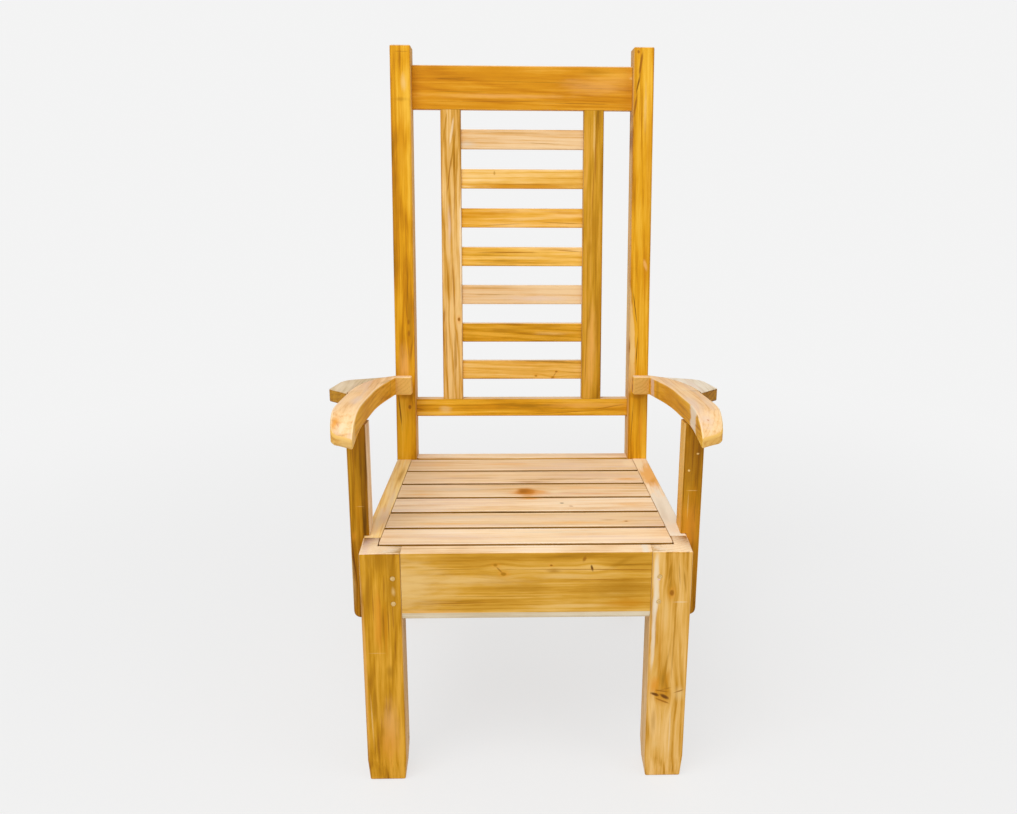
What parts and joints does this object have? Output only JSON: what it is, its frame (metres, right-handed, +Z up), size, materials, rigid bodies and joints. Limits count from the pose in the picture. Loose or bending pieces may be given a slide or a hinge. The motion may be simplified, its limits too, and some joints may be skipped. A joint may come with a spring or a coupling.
{
  "type": "planters chair",
  "caption": "High-back wooden armchair with a slatted seat, a slatted back panel between raked posts, and broad curved arms on short posts.",
  "frame": {"origin": "centre of the footprint box on the floor, under the chair's midline", "axes": "+X to the right as seen from the front, +Y to the back, +Z up"},
  "size_m": [0.676, 0.69, 1.1781],
  "materials": {
    "frame_wood": "satin oiled honey-coloured hardwood",
    "rail_wood": "satin oiled amber hardwood",
    "post_wood": "satin oiled dark golden hardwood",
    "top_wood": "satin oiled pale hardwood",
    "arm_wood": "satin oiled peach-coloured hardwood",
    "inner_wood": "sawn hardwood, unfinished",
    "peg_wood": "satin oiled pale end grain",
    "screw_brass": "dull brass"
  },
  "bodies": {
    "root": {"front_leg_left": "frame_wood", "front_leg_right": "frame_wood", "back_post_left": "frame_wood", "back_post_right": "frame_wood", "front_apron": "frame_wood", "rear_apron": "top_wood", "side_rail_left": "top_wood", "side_rail_right": "top_wood", "seat_bearer_left": "inner_wood", "seat_bearer_right": "inner_wood", "seat_bearer_middle": "inner_wood", "seat_slat_1": "top_wood", "seat_slat_2": "top_wood", "seat_slat_3": "top_wood", "seat_slat_4": "top_wood", "seat_slat_5": "top_wood", "seat_slat_6": "top_wood", "crest_rail": "rail_wood", "lower_back_rail": "rail_wood", "back_stile_left": "frame_wood", "back_stile_right": "frame_wood", "back_slat_1": "frame_wood", "back_slat_2": "frame_wood", "back_slat_3": "frame_wood", "back_slat_4": "frame_wood", "back_slat_5": "frame_wood", "back_slat_6": "frame_wood", "back_slat_7": "frame_wood", "arm_left": "arm_wood", "arm_right": "arm_wood", "arm_wing_left": "arm_wood", "arm_wing_right": "arm_wood", "arm_wing_tongue_left": "inner_wood", "arm_wing_tongue_right": "inner_wood", "arm_post_left": "post_wood", "arm_post_right": "post_wood", "arm_peg_left": "peg_wood", "arm_peg_right": "peg_wood", "apron_peg_upper_left": "peg_wood", "apron_peg_upper_right": "peg_wood", "apron_peg_lower_left": "peg_wood", "apron_peg_lower_right": "peg_wood", "rail_peg_front_left": "peg_wood", "rail_peg_front_right": "peg_wood", "rail_peg_rear_left": "peg_wood", "rail_peg_rear_right": "peg_wood", "arm_post_screw_upper_left": "screw_brass", "arm_post_screw_upper_right": "screw_brass", "arm_post_screw_lower_left": "screw_brass", "arm_post_screw_lower_right": "screw_brass", "arm_post_plug_upper_left": "peg_wood", "arm_post_plug_upper_right": "peg_wood", "arm_post_plug_lower_left": "peg_wood", "arm_post_plug_lower_right": "peg_wood", "bearer_screw_front_left": "screw_brass", "bearer_screw_front_right": "screw_brass", "bearer_screw_rear_left": "screw_brass", "bearer_screw_rear_right": "screw_brass"}
  },
  "joints": []
}
